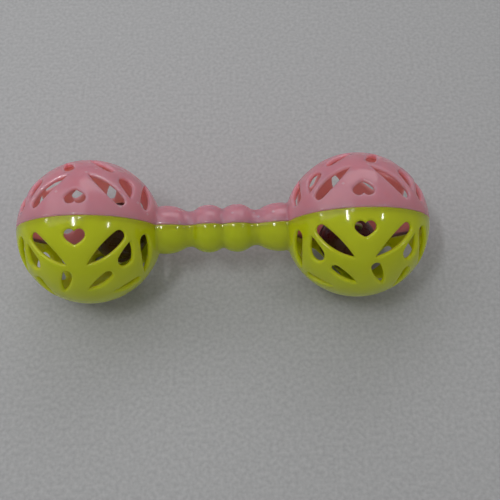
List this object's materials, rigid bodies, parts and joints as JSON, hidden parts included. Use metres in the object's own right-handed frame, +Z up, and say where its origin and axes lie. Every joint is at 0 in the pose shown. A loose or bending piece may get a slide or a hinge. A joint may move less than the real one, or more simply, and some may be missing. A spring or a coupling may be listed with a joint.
{
  "type": "baby rattle",
  "caption": "Dumbbell rattle with an openwork ball at each end of a wavy hollow handle and a loose jingle bell in each ball.",
  "frame": {"origin": "on the floor, midway between the two balls, as the rattle lies on them", "axes": "+X along the handle from the left ball to the right ball, +Z up"},
  "size_m": [0.148, 0.052, 0.0518],
  "materials": {
    "pink_plastic": "glossy moulded polypropylene, opaque pink",
    "lime_plastic": "glossy moulded polypropylene, opaque yellow-green",
    "bell_paint": "glossy dark plum enamel on thin steel",
    "wire": "plain drawn steel wire",
    "pellet_steel": "dull steel shot"
  },
  "bodies": {
    "rattle": {"upper_shell": "pink_plastic", "lower_shell": "lime_plastic"},
    "left_bell": {"left_bell_top": "bell_paint", "left_bell_bottom": "bell_paint", "left_bell_loop": "wire"},
    "left_pellet": {"left_pellet": "pellet_steel"},
    "right_bell": {"right_bell_top": "bell_paint", "right_bell_bottom": "bell_paint", "right_bell_loop": "wire"},
    "right_pellet": {"right_pellet": "pellet_steel"}
  },
  "joints": [
    {"name": "left_bell_roll", "type": "hinge", "parent": "rattle", "child": "left_bell", "pos_m": [-0.048, 0, 0.026], "axis": [1, 0, 0], "continuous": true},
    {"name": "left_pellet_roll", "type": "hinge", "parent": "left_bell", "child": "left_pellet", "pos_m": [-0.03907, 0.00435, 0.01708], "axis": [1, 0, 0], "range_deg": [-110, 110]},
    {"name": "right_bell_roll", "type": "hinge", "parent": "rattle", "child": "right_bell", "pos_m": [0.048, 0, 0.026], "axis": [1, 0, 0], "continuous": true},
    {"name": "right_pellet_roll", "type": "hinge", "parent": "right_bell", "child": "right_pellet", "pos_m": [0.04637, 0, 0.01275], "axis": [1, 0, 0], "range_deg": [-110, 110]}
  ]
}
